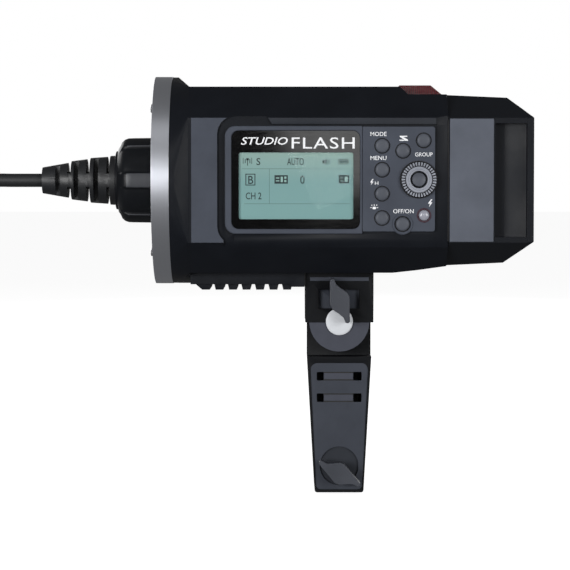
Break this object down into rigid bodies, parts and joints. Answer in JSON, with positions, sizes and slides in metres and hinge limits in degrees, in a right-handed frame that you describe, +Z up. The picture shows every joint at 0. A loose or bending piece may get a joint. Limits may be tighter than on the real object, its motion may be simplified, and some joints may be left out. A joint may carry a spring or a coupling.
{
  "type": "monolight strobe",
  "caption": "Battery-powered studio flash head with a modifier mount, side display and controls, clip-on battery, tilting stand bracket and a coiled extension lead.",
  "frame": {"origin": "mouth centre of the stand socket, at the foot of the handle", "axes": "+X from the lamp mouth towards the battery, along the flash axis; +Z up the handle from the stand; the control face looks to -Y"},
  "size_m": [0.5034, 0.1313, 0.2412],
  "materials": {
    "machined_ring": "turned, satin",
    "steel_fasteners": "plated",
    "black_moulding": "fine texture",
    "pan_white": "satin white",
    "socket_ceramic": "matt",
    "housing_grey": "fine spark texture",
    "battery_facet": "fine spark texture",
    "sensor_red": "clear tinted",
    "capacitor_sleeve": "shrink sleeve",
    "board_green": "solder mask",
    "winding_copper": "taped winding",
    "contact_brass": "plated",
    "port_black": "matt",
    "soft_rubber": "matt",
    "window_gloss": "polished",
    "lcd_green": "polarising film",
    "key_plastic": "satin",
    "cell_wrap": "shrink wrap",
    "bracket_black": "glass-filled, matt",
    "handle_grey": "matt",
    "knob_black": "satin",
    "plug_black": "satin",
    "cable_rubber": "matt jacket"
  },
  "bodies": {
    "handle": {"handle_shell": "bracket_black", "handle_panel": "handle_grey", "socket_liner": "steel_fasteners"},
    "head": {"front_ring": "machined_ring", "ring_screws": "steel_fasteners", "front_collar": "black_moulding", "reflector_pan": "pan_white", "flash_socket": "socket_ceramic", "housing_control_side": "housing_grey", "housing_far_side": "housing_grey", "housing_screws": "steel_fasteners", "vent_grille": "black_moulding", "optical_sensor_window": "sensor_red", "fan_frame": "black_moulding", "capacitor_upper": "capacitor_sleeve", "capacitor_lower": "capacitor_sleeve", "power_board": "board_green", "charging_transformer": "winding_copper", "control_board": "board_green", "rear_frame": "black_moulding", "battery_contacts": "contact_brass", "port_block": "port_black", "display_bezel": "housing_grey", "display_window": "window_gloss", "lcd_panel": "lcd_green", "control_plate": "housing_grey", "bracket_head": "bracket_black", "bracket_screws": "steel_fasteners", "pivot_bolt": "steel_fasteners", "pivot_nut": "steel_fasteners", "tilt_washers": "steel_fasteners", "plug_core": "plug_black", "strain_relief": "soft_rubber", "cord_lead": "cable_rubber", "cord_coil": "cable_rubber", "cord_tail": "cable_rubber", "far_connector": "plug_black"},
    "mount_lock": {"mount_lock_slider": "black_moulding"},
    "fan": {"fan_rotor": "black_moulding"},
    "latch": {"battery_latch": "black_moulding"},
    "port_flap": {"port_cover": "soft_rubber"},
    "dial": {"control_dial": "key_plastic"},
    "dial_centre": {"dial_centre_button": "key_plastic"},
    "button_mode_body": {"button_mode": "key_plastic"},
    "button_menu_body": {"button_menu": "key_plastic"},
    "button_sync_body": {"button_sync": "key_plastic"},
    "button_lamp_body": {"button_lamp": "key_plastic"},
    "button_group_body": {"button_group": "key_plastic"},
    "button_channel_body": {"button_channel": "key_plastic"},
    "button_power_body": {"button_power": "key_plastic"},
    "button_test_body": {"button_test": "key_plastic"},
    "umbrella_clamp": {"umbrella_knob": "knob_black"},
    "lever": {"tilt_lever": "bracket_black"},
    "stand_clamp": {"stand_knob": "knob_black"},
    "grip_collar": {"plug_grip": "plug_black"},
    "battery": {"battery_case": "black_moulding", "battery_end_cap": "black_moulding", "battery_plate_near": "battery_facet", "battery_plate_far": "battery_facet", "battery_cells": "cell_wrap"}
  },
  "joints": [
    {"name": "head_tilt", "type": "hinge", "parent": "handle", "child": "head", "pos_m": [0, 0, 0.0995], "axis": [0, 1, 0], "range_deg": [-80, 85]},
    {"name": "tilt_lever_turn", "type": "hinge", "parent": "head", "child": "lever", "pos_m": [0, 0.025, 0.0995], "axis": [0, 1, 0], "range_deg": [-90, 90]},
    {"name": "umbrella_clamp_turn", "type": "hinge", "parent": "head", "child": "umbrella_clamp", "pos_m": [0, -0.025, 0.112], "axis": [0, 1, 0], "range_deg": [-180, 180]},
    {"name": "stand_clamp_turn", "type": "hinge", "parent": "handle", "child": "stand_clamp", "pos_m": [0, -0.025, 0.0125], "axis": [0, 1, 0], "range_deg": [-180, 180]},
    {"name": "dial_turn", "type": "hinge", "parent": "head", "child": "dial", "pos_m": [0.0435, -0.06, 0.1814], "axis": [0, 1, 0], "continuous": true},
    {"name": "dial_centre_press", "type": "slide", "parent": "head", "child": "dial_centre", "axis": [0, 1, 0], "range_m": [0, 0.0008], "stiffness_N_per_m": 400},
    {"name": "button_mode_press", "type": "slide", "parent": "head", "child": "button_mode_body", "axis": [0, 1, 0], "range_m": [0, 0.0008], "stiffness_N_per_m": 400},
    {"name": "button_menu_press", "type": "slide", "parent": "head", "child": "button_menu_body", "axis": [0, 1, 0], "range_m": [0, 0.0008], "stiffness_N_per_m": 400},
    {"name": "button_sync_press", "type": "slide", "parent": "head", "child": "button_sync_body", "axis": [0, 1, 0], "range_m": [0, 0.0008], "stiffness_N_per_m": 400},
    {"name": "button_lamp_press", "type": "slide", "parent": "head", "child": "button_lamp_body", "axis": [0, 1, 0], "range_m": [0, 0.0008], "stiffness_N_per_m": 400},
    {"name": "button_group_press", "type": "slide", "parent": "head", "child": "button_group_body", "axis": [0, 1, 0], "range_m": [0, 0.0008], "stiffness_N_per_m": 400},
    {"name": "button_channel_press", "type": "slide", "parent": "head", "child": "button_channel_body", "axis": [0, 1, 0], "range_m": [0, 0.0008], "stiffness_N_per_m": 400},
    {"name": "button_power_press", "type": "slide", "parent": "head", "child": "button_power_body", "axis": [0, 1, 0], "range_m": [0, 0.0008], "stiffness_N_per_m": 400},
    {"name": "button_test_press", "type": "slide", "parent": "head", "child": "button_test_body", "axis": [0, 1, 0], "range_m": [0, 0.0008], "stiffness_N_per_m": 400},
    {"name": "mount_lock_slide", "type": "slide", "parent": "head", "child": "mount_lock", "axis": [1, 0, 0], "range_m": [0, 0.004], "stiffness_N_per_m": 400},
    {"name": "battery_slide", "type": "slide", "parent": "head", "child": "battery", "axis": [1, 0, 0], "range_m": [0, 0.06]},
    {"name": "battery_latch_press", "type": "slide", "parent": "head", "child": "latch", "axis": [0, -1, 0], "range_m": [0, 0.0015], "stiffness_N_per_m": 500},
    {"name": "port_cover_swing", "type": "hinge", "parent": "head", "child": "port_flap", "pos_m": [-0.039, 0.0566, 0.1694], "axis": [1, 0, 0], "range_deg": [-120, 0]},
    {"name": "fan_spin", "type": "hinge", "parent": "head", "child": "fan", "pos_m": [-0.053, 0, 0.135], "axis": [0, 0, 1], "continuous": true},
    {"name": "grip_twist", "type": "hinge", "parent": "head", "child": "grip_collar", "pos_m": [-0.115, 0, 0.181], "axis": [1, 0, 0], "range_deg": [0, 30]}
  ]
}
